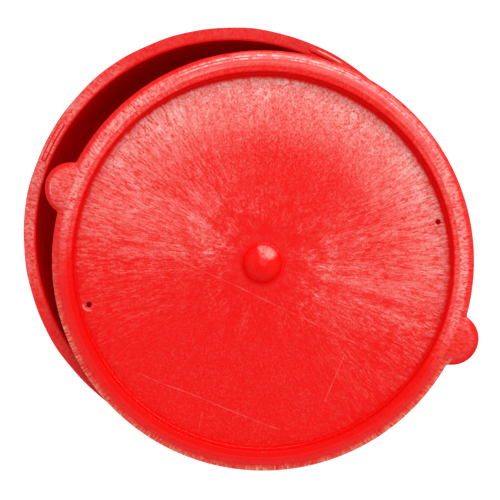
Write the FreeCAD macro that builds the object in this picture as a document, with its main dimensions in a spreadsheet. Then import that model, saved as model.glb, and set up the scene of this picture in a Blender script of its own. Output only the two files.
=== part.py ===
"""Round tortilla warmer: a moulded bowl and the plug lid that lies across its rim.

Millimetres, +Z up. The origin is on the axis of the bowl, on the plane that its foot stands on.
Every size is a cell of the sheet "Sizes" and every feature is bound to those cells.
"""
import FreeCAD, Part
import math
import os
import Sketcher
from FreeCAD import Placement, Rotation, Vector

PARTS_FOLDER = "parts"
DEGREE = math.pi / 180
MATCH = 0.02        # how near an edge has to lie to the circle that names it
ROUND_FLATS = 3     # a large round is drawn as this many equal flats

# alias, size, what it is
SIZES = (
    ("rim_radius", 92.0, "outside of the bowl's flat rim"),
    ("opening_radius", 86.2, "mouth of the bowl"),
    ("base_height", 46.0, "table to the top of the rim"),
    ("rim_thickness", 2.4, "flat rim, top to underside"),
    ("lip_width", 1.6, "turned-down edge of the rim"),
    ("lip_depth", 5.0, "turned-down edge, from the top of the rim"),
    ("wall", 2.2, "side wall and floor of the bowl"),
    ("draft", 3.0, "slope of the side wall, in degrees"),
    ("inner_corner", 6.0, "floor to wall, inside"),
    ("outer_corner", 8.0, "floor to wall, outside"),
    ("foot_radius", 68.0, "outside of the foot ring"),
    ("foot_width", 2.6, "foot ring, across"),
    ("foot_drop", 1.2, "foot ring, below the floor"),
    ("gate_well_radius", 7.0, "shallow well round the gate, under the floor"),
    ("gate_well_depth", 0.5, "depth of that well"),
    ("gate_stub_radius", 1.5, "stub that the gate leaves in the well"),
    ("gate_stub_height", 0.4, "height of that stub"),
    ("pad_circle", 89.2, "radius that the rim's raised pads lie on"),
    ("pad_width", 2.6, "pad, across the rim"),
    ("pad_span", 12.6, "pad, end to end along the rim, in degrees"),
    ("pad_turn", 61.3, "first pad, in degrees from +X"),
    ("pad_height", 0.5, "pad, above the rim"),
    ("pads", 4.0, "pads round the rim"),
    ("edge_ease", 0.3, "bevel that takes the sharpness off a moulded edge"),
    ("flange_radius", 91.75, "outside of the lid's flange"),
    ("flange_thickness", 2.6, "flange and tabs, where they are thickest"),
    ("shoulder_width", 5.0, "falling top of the flange and tabs, in from their side"),
    ("shoulder_fall", 0.9, "straight share of that fall"),
    ("shoulder_drop", 1.3, "rounded share of that fall"),
    ("land_radius", 85.95, "inside of the flange's highest ring"),
    ("step_radius", 83.4, "top of the steep step down to the panel"),
    ("step_drop", 0.45, "slope, from the highest ring to the steep step"),
    ("panel_radius", 82.5, "recessed panel"),
    ("recess", 4.8, "highest ring down to the panel"),
    ("panel_thickness", 2.2, "panel of the lid"),
    ("plug_clearance", 0.4, "plug of the lid inside the mouth of the bowl"),
    ("plug_draft", 0.3, "plug, smaller at its foot than at the flange"),
    ("ring_bend", 0.4, "bevel at the bends of the lid's ring"),
    ("tab_offset", 89.0, "lid axis to the centre of a tab"),
    ("tab_radius", 11.5, "thumb tab"),
    ("tabs", 2.0, "thumb tabs"),
    ("vent_circle", 78.5, "lid axis to a steam vent"),
    ("vent_turn", 35.0, "vent, in degrees from the tab"),
    ("vent_radius", 1.2, "steam vent"),
    ("vents", 2.0, "steam vents"),
    ("boss_radius", 9.0, "domed boss, where it meets the panel"),
    ("boss_height", 4.6, "domed boss, above the panel"),
    ("boss_shell", 2.2, "thickness of the dome"),
    ("boss_fillet", 0.8, "dome into panel"),
    ("crown_drop", 0.12, "top of the full dome down to the flat crown across it"),
    ("gate_radius", 0.9, "stub that the gate leaves on the crown"),
    ("gate_height", 0.25, "height of that stub"),
    ("lid_shift_x", 13.65, "lid axis from bowl axis, along X"),
    ("lid_shift_y", -10.44, "lid axis from bowl axis, along Y"),
    ("lid_turn", 158.5, "direction of the first tab, in degrees from +X"),
    ("seat_gap", 0.05, "lid's underside above the pads that it lies on"),
)


def make_sheet(document):
    """The driving sizes, one row each: what it is, the number, under its alias."""
    sheet = document.addObject("Spreadsheet::Sheet", "Sizes")
    for row, (alias, size, meaning) in enumerate(SIZES, start=1):
        sheet.set(f"A{row}", meaning)
        sheet.set(f"B{row}", str(size))
        sheet.setAlias(f"B{row}", alias)
    document.recompute()
    return sheet


def value(expression):
    """What an expression on the sheet gives, as a plain number."""
    result = SHEET.evalExpression(expression)
    return float(getattr(result, "Value", result))


def make_body(document, name):
    body = document.addObject("PartDesign::Body", name)
    body.Label = name
    return body


def origin_feature(body, role):
    return next(item for item in body.Origin.OriginFeatures if item.Role == role)


def make_sketch(body, name, plane, **offset):
    """An empty sketch on one of the body's own origin planes, moved by bound offsets (x, y, z)."""
    sketch = body.newObject("Sketcher::SketchObject", name)
    sketch.AttachmentSupport = [(origin_feature(body, plane), "")]
    sketch.MapMode = "FlatFace"
    for axis, expression in offset.items():
        sketch.setExpression(f"AttachmentOffset.Base.{axis}", expression)
    return sketch


def bind(sketch, kind, reference, expression, name):
    """A dimension of the sketch, named, and held by an expression on the sheet."""
    sketch.addConstraint(Sketcher.Constraint(kind, *reference, value(expression)))
    last = sketch.ConstraintCount - 1
    sketch.renameConstraint(last, name)
    sketch.setExpression(f"Constraints.{name}", expression)


def pin_point(sketch, edge, end, place, name):
    """Hold one end of an edge, or a centre, at a bound place."""
    for kind, expression, axis in zip(("DistanceX", "DistanceY"), place, "xy"):
        if expression == "0":
            on_axis = -2 if axis == "x" else -1
            sketch.addConstraint(Sketcher.Constraint("PointOnObject", edge, end, on_axis))
        else:
            bind(sketch, kind, (-1, 1, edge, end), expression, f"{name}_{axis}")


def draw_outline(sketch, corners):
    """A closed outline of straight sides through named corners, each held by expressions."""
    points = [Vector(value(x), value(y), 0) for _, x, y in corners]
    count = len(points)
    for index in range(count):
        sketch.addGeometry(Part.LineSegment(points[index], points[(index + 1) % count]), False)
    for index in range(count):
        sketch.addConstraint(Sketcher.Constraint("Coincident", index, 2, (index + 1) % count, 1))
    for index, (name, x, y) in enumerate(corners):
        pin_point(sketch, index, 1, (x, y), name)


def round_corner(name, centre, radius, first, sweep):
    """Corners of a round drawn as flats: from a first direction about its centre, through a sweep."""
    x, y = centre
    corners = []
    for step in range(ROUND_FLATS + 1):
        turn = f"{first} + ({sweep}) * {step} / {ROUND_FLATS}"
        corners.append((f"{name}_{step}", f"{x} + {radius} * cos({turn})", f"{y} + {radius} * sin({turn})"))
    return corners


def bevelled(path, size):
    """Corners of a path of named corners, with a bevel at each of them but the two ends."""
    corners = []
    for before, (name, x, y), after in zip(path, path[1:], path[2:]):
        for side, (_, other_x, other_y) in (("in", before), ("out", after)):
            across = f"({other_x} - ({x}))"
            along = f"({other_y} - ({y}))"
            share = f"{size} / sqrt({across} ^ 2 + {along} ^ 2)"
            corners.append((f"{name}_{side}", f"{x} + {across} * {share}", f"{y} + {along} * {share}"))
    return [path[0], *corners, path[-1]]


def draw_circle(sketch, x, y, radius, name):
    centre = Vector(value(x), value(y), 0)
    circle = sketch.addGeometry(Part.Circle(centre, Vector(0, 0, 1), value(radius)), False)
    pin_point(sketch, circle, 3, (x, y), f"{name}_centre")
    bind(sketch, "Radius", (circle,), radius, f"{name}_radius")


def revolve(body, name, sketch, kind="PartDesign::Revolution"):
    feature = body.newObject(kind, name)
    feature.Profile = sketch
    feature.ReferenceAxis = (sketch, ["V_Axis"])
    feature.Angle = 360
    body.Document.recompute()
    return feature


def pad(body, name, sketch, length):
    feature = body.newObject("PartDesign::Pad", name)
    feature.Profile = sketch
    feature.setExpression("Length", length)
    body.Document.recompute()
    return feature


def repeat_round(body, name, feature, count):
    """The feature again, evenly spaced round the body's Z axis."""
    pattern = body.newObject("PartDesign::PolarPattern", name)
    pattern.Originals = [feature]
    pattern.Axis = (origin_feature(body, "Z_Axis"), [""])
    pattern.Angle = 360
    pattern.setExpression("Occurrences", count)
    body.Tip = pattern
    body.Document.recompute()
    return pattern


def ring_edges(shape, radius, height):
    """Names of the circular edges round the axis with this radius and height."""
    found = []
    for index, edge in enumerate(shape.Edges, start=1):
        curve = edge.Curve
        if not isinstance(curve, Part.Circle):
            continue
        off_axis = Vector(curve.Center.x, curve.Center.y, 0).Length
        if off_axis < MATCH and abs(curve.Radius - radius) < MATCH:
            if abs(curve.Center.z - height) < MATCH:
                found.append(f"Edge{index}")
    return found


def dress(body, name, circles, kind, expression):
    """Bevel (Size) or round (Radius) the edges that lie on named circles (radius, height)."""
    edges = []
    for radius, height in circles:
        found = ring_edges(body.Shape, value(radius), value(height))
        if not found:
            raise ValueError(f"{name}: no edge at radius {radius}, height {height}")
        edges += found
    dressed = body.Tip
    feature = body.newObject("PartDesign::Chamfer" if kind == "Size" else "PartDesign::Fillet", name)
    feature.Base = (dressed, edges)
    feature.setExpression(kind, expression)
    body.Document.recompute()
    return feature


def must_change(body, before, grows, name):
    """A feature has to add or remove material, as its kind says."""
    change = body.Shape.Volume - before
    if (change > 0) != grows or abs(change) < MATCH:
        raise ValueError(f"{name} changed the volume by {change:.3f} mm3")


# ---------------------------------------------------------------- bowl

WALL_SLOPE = "tan(Sizes.draft)"
FLOOR_TOP = "Sizes.foot_drop + Sizes.wall"
RIM_UNDERSIDE = "Sizes.base_height - Sizes.rim_thickness"
INNER_FOOT = f"Sizes.opening_radius - (Sizes.base_height - Sizes.foot_drop - Sizes.wall) * {WALL_SLOPE}"
OUTER_FOOT = f"Sizes.opening_radius + Sizes.wall - (Sizes.base_height - Sizes.foot_drop) * {WALL_SLOPE}"
OUTER_TOP = f"Sizes.opening_radius + Sizes.wall - Sizes.rim_thickness * {WALL_SLOPE}"
CORNER_SET_BACK = "tan((90 - Sizes.draft) / 2)"     # of a corner's centre, for a radius of one


def bowl_section(body):
    """Half section of the bowl: foot ring, drafted wall, flat rim and its turned-down edge."""
    sketch = make_sketch(body, "bowl_section", "XZ_Plane")
    outer_centre = (f"{OUTER_FOOT} - Sizes.outer_corner * {CORNER_SET_BACK}",
                    "Sizes.foot_drop + Sizes.outer_corner")
    inner_centre = (f"{INNER_FOOT} - Sizes.inner_corner * {CORNER_SET_BACK}",
                    f"{FLOOR_TOP} + Sizes.inner_corner")
    draw_outline(sketch, [
        ("under_centre", "0", "Sizes.foot_drop"),
        ("foot_inside", "Sizes.foot_radius - Sizes.foot_width", "Sizes.foot_drop"),
        ("foot_inner_edge", "Sizes.foot_radius - Sizes.foot_width", "0"),
        ("foot_outer_edge", "Sizes.foot_radius", "0"),
        ("foot_outside", "Sizes.foot_radius", "Sizes.foot_drop"),
        *round_corner("outer_corner", outer_centre, "Sizes.outer_corner", "-90", "90 - Sizes.draft"),
        ("wall_top_outside", OUTER_TOP, RIM_UNDERSIDE),
        ("lip_root", "Sizes.rim_radius - Sizes.lip_width", RIM_UNDERSIDE),
        ("lip_inner_edge", "Sizes.rim_radius - Sizes.lip_width", "Sizes.base_height - Sizes.lip_depth"),
        ("lip_outer_edge", "Sizes.rim_radius", "Sizes.base_height - Sizes.lip_depth"),
        ("rim_edge", "Sizes.rim_radius", "Sizes.base_height"),
        ("mouth", "Sizes.opening_radius", "Sizes.base_height"),
        *round_corner("inner_corner", inner_centre, "Sizes.inner_corner",
                      "-Sizes.draft", "Sizes.draft - 90"),
        ("floor_centre", "0", FLOOR_TOP),
    ])
    return revolve(body, "bowl_turned", sketch)


def ease_bowl_edges(body):
    """Take the sharpness off the edges of the rim, its turned-down edge and the foot ring."""
    lip_foot = "Sizes.base_height - Sizes.lip_depth"
    circles = (
        ("Sizes.rim_radius", "Sizes.base_height"),
        ("Sizes.opening_radius", "Sizes.base_height"),
        ("Sizes.rim_radius", lip_foot),
        ("Sizes.rim_radius - Sizes.lip_width", lip_foot),
        ("Sizes.foot_radius", "0"),
        ("Sizes.foot_radius - Sizes.foot_width", "0"),
    )
    dress(body, "edges_eased", circles, "Size", "Sizes.edge_ease")


def gate_under_bowl(body):
    """The well and stub that the moulding gate leaves in the middle of the underside."""
    before = body.Shape.Volume
    sketch = make_sketch(body, "gate_section", "XZ_Plane")
    draw_outline(sketch, (
        ("well_edge", "Sizes.gate_well_radius", "Sizes.foot_drop"),
        ("well_corner", "Sizes.gate_well_radius", "Sizes.foot_drop + Sizes.gate_well_depth"),
        ("stub_root", "Sizes.gate_stub_radius", "Sizes.foot_drop + Sizes.gate_well_depth"),
        ("stub_edge", "Sizes.gate_stub_radius",
         "Sizes.foot_drop + Sizes.gate_well_depth - Sizes.gate_stub_height"),
        ("stub_centre", "0", "Sizes.foot_drop + Sizes.gate_well_depth - Sizes.gate_stub_height"),
        ("well_centre", "0", "Sizes.foot_drop"),
    ))
    revolve(body, "gate_well", sketch, "PartDesign::Groove")
    must_change(body, before, False, "gate_well")


def rim_pads(body):
    """Long low pads with round ends, raised on the rim, which the lid can bear on."""
    before = body.Shape.Volume
    sketch = make_sketch(body, "pad_outline", "XY_Plane", z="Sizes.base_height")
    end_round = "Sizes.pad_width / 2"
    half_span = "(Sizes.pad_span / 2 - 90 / pi * Sizes.pad_width / Sizes.pad_circle)"
    middle, half = value("Sizes.pad_turn"), value(half_span)
    circle, end = value("Sizes.pad_circle"), value(end_round)
    axis = Vector(0, 0, 1)
    origin = Vector(0, 0, 0)

    def arc(centre, radius, start, stop):
        whole = Part.Circle(centre, axis, radius)
        return Part.ArcOfCircle(whole, start * DEGREE, stop * DEGREE)

    def on_circle(turn):
        return Rotation(axis, turn).multVec(Vector(circle, 0, 0))

    first, last = middle - half, middle + half
    outside = sketch.addGeometry(arc(origin, circle + end, first, last), False)
    inside = sketch.addGeometry(arc(origin, circle - end, first, last), False)
    start_end = sketch.addGeometry(arc(on_circle(first), end, first + 180, first + 360), False)
    stop_end = sketch.addGeometry(arc(on_circle(last), end, last, last + 180), False)
    for ring in (outside, inside):
        sketch.addConstraint(Sketcher.Constraint("Coincident", ring, 3, -1, 1))
    sketch.addConstraint(Sketcher.Constraint("Tangent", start_end, 2, outside, 1))
    sketch.addConstraint(Sketcher.Constraint("Tangent", start_end, 1, inside, 1))
    sketch.addConstraint(Sketcher.Constraint("Tangent", stop_end, 1, outside, 2))
    sketch.addConstraint(Sketcher.Constraint("Tangent", stop_end, 2, inside, 2))
    bind(sketch, "Radius", (outside,), f"Sizes.pad_circle + {end_round}", "outside")
    bind(sketch, "Radius", (inside,), f"Sizes.pad_circle - {end_round}", "inside")
    for name, edge, turn in (("start", start_end, f"Sizes.pad_turn - {half_span}"),
                             ("stop", stop_end, f"Sizes.pad_turn + {half_span}")):
        bind(sketch, "DistanceX", (-1, 1, edge, 3), f"Sizes.pad_circle * cos({turn})", f"{name}_x")
    one = pad(body, "pad_raised", sketch, "Sizes.pad_height")
    repeat_round(body, "pads_round_rim", one, "Sizes.pads")
    must_change(body, before, True, "pads_round_rim")


def make_bowl(document):
    body = make_body(document, "bowl")
    bowl_section(body)
    ease_bowl_edges(body)
    gate_under_bowl(body)
    rim_pads(body)
    return body


# ---------------------------------------------------------------- lid

PLUG = "Sizes.opening_radius - Sizes.plug_clearance"
LAND = "Sizes.panel_thickness + Sizes.recess"
FLANGE_UNDERSIDE = f"{LAND} - Sizes.flange_thickness"
STEP_TOP = f"{LAND} - Sizes.step_drop"
DOME = "(Sizes.boss_radius ^ 2 + Sizes.boss_height ^ 2) / (2 * Sizes.boss_height)"
DOME_CENTRE = f"Sizes.panel_thickness + Sizes.boss_height - {DOME}"
CROWN = "Sizes.panel_thickness + Sizes.boss_height - Sizes.crown_drop"


def shoulder(edge_radius):
    """Corners of the falling top of the flange or of a tab, up from its side at this radius."""
    corners = []
    for step in range(ROUND_FLATS + 1):
        turn = f"90 * {step} / {ROUND_FLATS}"
        radius = f"{edge_radius} - Sizes.shoulder_width * (1 - cos({turn}))"
        height = f"{LAND} - Sizes.shoulder_fall * cos({turn}) - Sizes.shoulder_drop * (1 - sin({turn}))"
        corners.append((f"shoulder_{step}", radius, height))
    return corners


def ring_profile():
    """Corners from the flat top over the slope and down the steep step to the middle of the panel."""
    return bevelled([
        ("land", "Sizes.land_radius + Sizes.ring_bend", LAND),
        ("land_inside", "Sizes.land_radius", LAND),
        ("step_edge", "Sizes.step_radius", STEP_TOP),
        ("panel_edge", "Sizes.panel_radius", "Sizes.panel_thickness"),
        ("panel_centre", "0", "Sizes.panel_thickness"),
    ], "Sizes.ring_bend")


def lid_section(body):
    """Half section of the lid: panel, plug wall, flange, and the ring down to the panel."""
    sketch = make_sketch(body, "lid_section", "XZ_Plane")
    plug = bevelled([
        ("under_centre", "0", "0"),
        ("plug_foot", f"{PLUG} - Sizes.plug_draft", "0"),
        ("plug_top", PLUG, FLANGE_UNDERSIDE),
    ], "Sizes.ring_bend")
    flange_edge = "Sizes.flange_radius"
    flange = [("flange_under_edge", flange_edge, FLANGE_UNDERSIDE), *shoulder(flange_edge)]
    draw_outline(sketch, plug + flange + ring_profile()[1:])
    return revolve(body, "lid_turned", sketch)


def thumb_tabs(body):
    """Two round tabs in the plane of the flange, opposite each other, with the same shoulder."""
    before = body.Shape.Volume
    sketch = make_sketch(body, "tab_section", "XZ_Plane", x="Sizes.tab_offset")
    draw_outline(sketch, [
        ("under_centre", "0", FLANGE_UNDERSIDE),
        ("under_edge", "Sizes.tab_radius", FLANGE_UNDERSIDE),
        *shoulder("Sizes.tab_radius"),
        ("top_centre", "0", LAND),
    ])
    one = revolve(body, "tab", sketch)
    repeat_round(body, "tabs_round_flange", one, "Sizes.tabs")
    must_change(body, before, True, "tabs_round_flange")


def trim_tabs(body):
    """Clear the tabs' inner parts off the ring between flange and panel."""
    before = body.Shape.Volume
    sketch = make_sketch(body, "ring_inside_section", "XZ_Plane")
    draw_outline(sketch, ring_profile()[1:] + [("above_centre", "0", LAND)])
    revolve(body, "ring_inside", sketch, "PartDesign::Groove")
    must_change(body, before, False, "ring_inside")


def steam_vents(body):
    """Two small holes straight through the panel, near its edge."""
    before = body.Shape.Volume
    sketch = make_sketch(body, "vent_outline", "XY_Plane")
    draw_circle(sketch, "Sizes.vent_circle * cos(Sizes.vent_turn)",
                "Sizes.vent_circle * sin(Sizes.vent_turn)", "Sizes.vent_radius", "vent")
    hole = body.newObject("PartDesign::Pocket", "vent")
    hole.Profile = sketch
    hole.Type = "ThroughAll"
    hole.Reversed = True
    body.Document.recompute()
    repeat_round(body, "vents_round_panel", hole, "Sizes.vents")
    must_change(body, before, False, "vents_round_panel")


def dome_arc(sketch, radius, low, high):
    """An arc of the dome about its centre on the axis, between two heights above the underside."""
    centre_height = value(DOME_CENTRE)
    size = value(radius)
    centre = Vector(0, centre_height, 0)

    def at_height(height):
        across = (size ** 2 - (height - centre_height) ** 2) ** 0.5
        return Vector(across, height, 0)

    start, stop = at_height(low), at_height(high)
    angles = [Vector(1, 0, 0).getAngle(point - centre) for point in (start, stop)]
    edge = sketch.addGeometry(Part.ArcOfCircle(Part.Circle(centre, Vector(0, 0, 1), size), *angles), False)
    return edge, start, stop


def line(sketch, start, stop):
    return sketch.addGeometry(Part.LineSegment(start, stop), False)


def join(sketch, *pairs):
    for first, first_end, second, second_end in pairs:
        sketch.addConstraint(Sketcher.Constraint("Coincident", first, first_end, second, second_end))


def hold_dome(sketch, edge, radius, low, high):
    """Centre, size and both end heights of a dome arc, bound to the sheet."""
    pin_point(sketch, edge, 3, ("0", DOME_CENTRE), "dome_centre")
    bind(sketch, "Radius", (edge,), radius, "dome_radius")
    for name, end, height in (("low", 1, low), ("high", 2, high)):
        bind(sketch, "DistanceY", (-1, 1, edge, end), height, f"dome_{name}")


def boss(body):
    """Domed boss in the middle of the panel, with a small flat crown and the gate's stub on it."""
    before = body.Shape.Volume
    sketch = make_sketch(body, "boss_section", "XZ_Plane")
    base = "Sizes.panel_thickness"
    arc, start, stop = dome_arc(sketch, DOME, value(base), value(CROWN))
    stub_top = value(CROWN) + value("Sizes.gate_height")
    stub = value("Sizes.gate_radius")
    corners = (stop, Vector(stub, stop.y, 0), Vector(stub, stub_top, 0), Vector(0, stub_top, 0),
               Vector(0, start.y, 0), start)
    sides = [line(sketch, corners[index], corners[index + 1]) for index in range(len(corners) - 1)]
    crown, stub_side, stub_cap, axis_side, floor_side = sides
    join(sketch, (arc, 2, crown, 1), (crown, 2, stub_side, 1), (stub_side, 2, stub_cap, 1),
         (stub_cap, 2, axis_side, 1), (axis_side, 2, floor_side, 1), (floor_side, 2, arc, 1))
    hold_dome(sketch, arc, DOME, base, CROWN)
    pin_point(sketch, stub_side, 1, ("Sizes.gate_radius", CROWN), "stub_root")
    pin_point(sketch, stub_cap, 1, ("Sizes.gate_radius", f"{CROWN} + Sizes.gate_height"), "stub_edge")
    pin_point(sketch, axis_side, 1, ("0", f"{CROWN} + Sizes.gate_height"), "stub_centre")
    pin_point(sketch, floor_side, 1, ("0", base), "boss_centre")
    revolve(body, "boss", sketch)
    must_change(body, before, True, "boss")
    dress(body, "boss_root", [("Sizes.boss_radius", base)], "Radius", "Sizes.boss_fillet")


def hollow_under_boss(body):
    """The dome is a shell of even thickness, so its underside is hollow."""
    before = body.Shape.Volume
    sketch = make_sketch(body, "hollow_section", "XZ_Plane")
    radius = f"{DOME} - Sizes.boss_shell"
    top = f"{DOME_CENTRE} + {radius}"
    arc, start, stop = dome_arc(sketch, radius, 0.0, value(top))
    axis_side = line(sketch, stop, Vector(0, 0, 0))
    floor_side = line(sketch, Vector(0, 0, 0), start)
    join(sketch, (arc, 2, axis_side, 1), (axis_side, 2, floor_side, 1), (floor_side, 2, arc, 1))
    join(sketch, (axis_side, 2, -1, 1))
    pin_point(sketch, arc, 3, ("0", DOME_CENTRE), "dome_centre")
    bind(sketch, "Radius", (arc,), radius, "dome_radius")
    sketch.addConstraint(Sketcher.Constraint("PointOnObject", arc, 1, -1))
    sketch.addConstraint(Sketcher.Constraint("PointOnObject", arc, 2, -2))
    revolve(body, "boss_hollow", sketch, "PartDesign::Groove")
    must_change(body, before, False, "boss_hollow")


def make_lid(document):
    """The lid in its own frame, then laid level across the rim, shifted and turned."""
    body = make_body(document, "lid")
    lid_section(body)
    thumb_tabs(body)
    trim_tabs(body)
    steam_vents(body)
    boss(body)
    hollow_under_boss(body)
    rest_height = "Sizes.base_height + Sizes.pad_height + Sizes.seat_gap"
    body.Placement = Placement(Vector(), Rotation(Vector(0, 0, 1), value("Sizes.lid_turn")))
    body.setExpression("Placement.Base.x", "Sizes.lid_shift_x")
    body.setExpression("Placement.Base.y", "Sizes.lid_shift_y")
    body.setExpression("Placement.Base.z", rest_height)
    body.setExpression("Placement.Rotation.Angle", "Sizes.lid_turn")
    return body


# ---------------------------------------------------------------- document

def check(document, bodies):
    """Nothing failed, and every piece is one closed solid."""
    document.recompute()
    for item in document.Objects:
        if {"Invalid", "Error"} & set(item.State):
            raise ValueError(f"{item.Name}: {item.State}")
    for body in bodies:
        shape = body.Shape
        if shape.isNull() or not shape.isValid() or len(shape.Solids) != 1:
            raise ValueError(f"{body.Label} is not one valid solid")


def export(bodies):
    os.makedirs(PARTS_FOLDER, exist_ok=True)
    for body in bodies:
        body.Shape.exportStep(os.path.join(PARTS_FOLDER, f"{body.Label}.step"))
        box = body.Shape.BoundBox
        print(f"{body.Label}: {body.Shape.Volume / 1000:.2f} cm3, "
              f"z {box.ZMin:.2f} to {box.ZMax:.2f}, {box.XLength:.2f} x {box.YLength:.2f} mm")


DOCUMENT = FreeCAD.newDocument("tortilla_warmer")
SHEET = make_sheet(DOCUMENT)
PIECES = (make_bowl(DOCUMENT), make_lid(DOCUMENT))
check(DOCUMENT, PIECES)
export(PIECES)
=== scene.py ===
"""Looks of the round tortilla warmer: a red moulded bowl, and its lid lying ajar across the rim.

Drawn in millimetres and turned into metres when a mesh is made. The lid is drawn about its own
axis, with its first tab along +X, and its mesh is then laid in its place in the row frame.
"""
import math

import bpy
import numpy as np
from mathutils import Matrix, Vector


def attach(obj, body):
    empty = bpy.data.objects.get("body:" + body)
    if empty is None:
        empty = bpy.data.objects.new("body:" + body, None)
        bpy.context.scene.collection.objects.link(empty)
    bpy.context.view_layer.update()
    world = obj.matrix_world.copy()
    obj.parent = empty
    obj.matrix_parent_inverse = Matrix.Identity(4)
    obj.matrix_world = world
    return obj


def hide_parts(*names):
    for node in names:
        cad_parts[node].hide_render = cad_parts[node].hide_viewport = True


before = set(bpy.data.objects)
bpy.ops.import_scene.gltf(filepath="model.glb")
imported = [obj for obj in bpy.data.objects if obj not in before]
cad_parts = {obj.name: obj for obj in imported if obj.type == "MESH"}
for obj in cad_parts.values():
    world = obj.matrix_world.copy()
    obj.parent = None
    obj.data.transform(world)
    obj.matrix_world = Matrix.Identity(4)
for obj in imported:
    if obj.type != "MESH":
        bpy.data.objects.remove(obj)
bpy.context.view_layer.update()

MM = 0.001
HAIR = 1e-6                 # two heights that differ by less are one

# ---------------------------------------------------------------- the bowl's sizes, in millimetres

RIM_RADIUS = 92.0
OPENING_RADIUS = 86.2
BASE_HEIGHT = 46.0
RIM_THICKNESS = 2.4
LIP_WIDTH = 1.6
LIP_FOOT = BASE_HEIGHT - 5.0            # lower end of the turned-down edge
WALL = 2.2
DRAFT = math.radians(3.0)
INNER_CORNER = 6.0
OUTER_CORNER = 8.0
FOOT_RADIUS = 68.0
FOOT_WIDTH = 2.6
FOOT_DROP = 1.2
FLOOR_TOP = FOOT_DROP + WALL
EDGE_EASE = 0.35

PAD_CIRCLE = 89.2
PAD_WIDTH = 2.6
PAD_SPAN = math.radians(12.6)
PAD_TURN = math.radians(61.3)
PAD_HEIGHT = 0.5
PAD_SLOPE = 0.75            # width of a pad's sloping edge
PADS = 4

# depth, number round the rim and phase of the slow waves in its outer edge
RIM_WAVES = ((0.10, 9, 0.4), (0.08, 17, 2.0), (0.05, 31, 0.0))
RIM_WAVES_WIDTH = 2.5       # they fade out over this width of the rim

# ---------------------------------------------------------------- the lid's sizes, in millimetres

FLANGE_RADIUS = 91.75
FLANGE_THICKNESS = 2.6
SHOULDER_WIDTH = 5.0
SHOULDER_START = FLANGE_RADIUS - SHOULDER_WIDTH
SHOULDER_FALL = 1.2         # straight share of the shoulder's fall
SHOULDER_DROP = 1.0         # rounded share of it
LAND_RADIUS = 85.95
STEP_RADIUS = 82.8
STEP_DROP = 0.45
PANEL_RADIUS = 82.5
PANEL = 2.2                 # thickness of the panel, and height of its top
LAND = PANEL + 4.8          # height of the flat land
UNDER_FLANGE = LAND - FLANGE_THICKNESS
PLUG_RADIUS = 85.8
PLUG_ROOT = PLUG_RADIUS + 0.6           # where the flange's underside meets the plug's root
PLUG_DRAFT = 0.3            # how much narrower the plug is at its lower end
TAB_OFFSET = 89.0
TAB_RADIUS = 11.5
TAB_NECK = 0.9              # how softly a tab runs into the flange
VENT_CIRCLE = 78.5
VENT_TURN = math.radians(35.0)
VENT_RADIUS = 1.2
BOSS_RADIUS = 9.0
BOSS_HEIGHT = 4.6
BOSS_SHELL = 2.2
BOSS_ROOT = 1.2             # round between dome and panel
CROWN = PANEL + BOSS_HEIGHT - 0.12      # height of the dome's flat top
GATE_RADIUS = 0.9
GATE_TOP = CROWN + 0.25                 # height of the stub that the gate has left on it
SWAY_DEPTH = 0.035          # slow unevenness of the thin panel
SWAY_FADE = 8.0             # width that it fades out over, at the boss and at the step

LID_SHIFT = (13.65, -10.44)             # the lid's axis, from the bowl's
LID_TURN = math.radians(158.5)
SEAT_GAP = 0.05

# ---------------------------------------------------------------- distances between a mesh's rings

PANEL_SPACING = 1.9
STEP_SPACING = 0.7
PLUG_SPACING = 1.5
UNDERSIDE_SPACING = 5.0
BOWL_SPACING = 2.4
RIM_SPACING = 0.22          # on the rim's top, where the pads stand up

# ---------------------------------------------------------------- marks on the lid, in millimetres

# distance from the axis, turn from the first tab, and radius of a round insert and a round pin
# of the mould, whose outlines show there and on the opposite side
MOULD_ROUNDS = ((68.7, math.radians(-17.5), 11.6), (74.5, math.radians(33.6), 2.4))
# start and end of each scratch, from the lid's axis along the row's axes
SCRATCHES = (
    ((-44.8, 5.9), (42.9, -35.9)),
    ((-55.4, -48.7), (7.9, -74.1)),
    ((-26.2, -65.2), (-28.5, -74.2)),
    ((36.5, -39.5), (27.0, -62.0)),
)
HIGHLIGHT_RINGS = ((89.6, 0.6), (88.4, 0.5))         # radius and width of the rings of painted highlight on the shoulder
BAND = (88.0, 89.5)         # the flange's band of painted sheen ends between these radii
EDGE_START = 87.4           # from here the painted reflection of the floor on the outer edge grows outwards
EDGE_WIDTH = 4.35
ONLY_TABS = (91.9, 92.6)    # beyond these radii there are only the tabs

# ---------------------------------------------------------------- where the looks change

# directions on the row's axes, in degrees, that each of these is strongest towards
LIT = 75                    # painted sheen of panel and flange, on the side the light comes from
LINED = 78                  # lines that follow the flange round
BROKEN_GLOSS = 70           # gloss of the shoulder, broken into dashes
SHADED = 65                 # the panel's painted sheen ends further in: painted shade below the step
DOME_LIT = 68               # painted highlight on the dome
WIDE_BAND = 90              # the flange's band of painted sheen reaches further out
NARROW_BAND = 150           # the band ends further in
NEAR_EDGE = 262             # painted reflection of the white floor on the flange's outer edge
RED_REFLECTING_EDGE = 120            # the same edge stays red, where it would reflect the red bowl
RAYS = 160                  # painted sheen in pale rays on the panel, also on the opposite side
STROKES = 165               # long strokes of the panel's grain, also on the opposite side
RIM_SHEEN = 158              # painted sheen on the bowl's rim
PAD_LIT = 61.8              # the pad whose outer slope has a painted highlight

# ---------------------------------------------------------------- colours and gloss

LID_RED = (0.88, 0.0016, 0.0010, 1)
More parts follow.
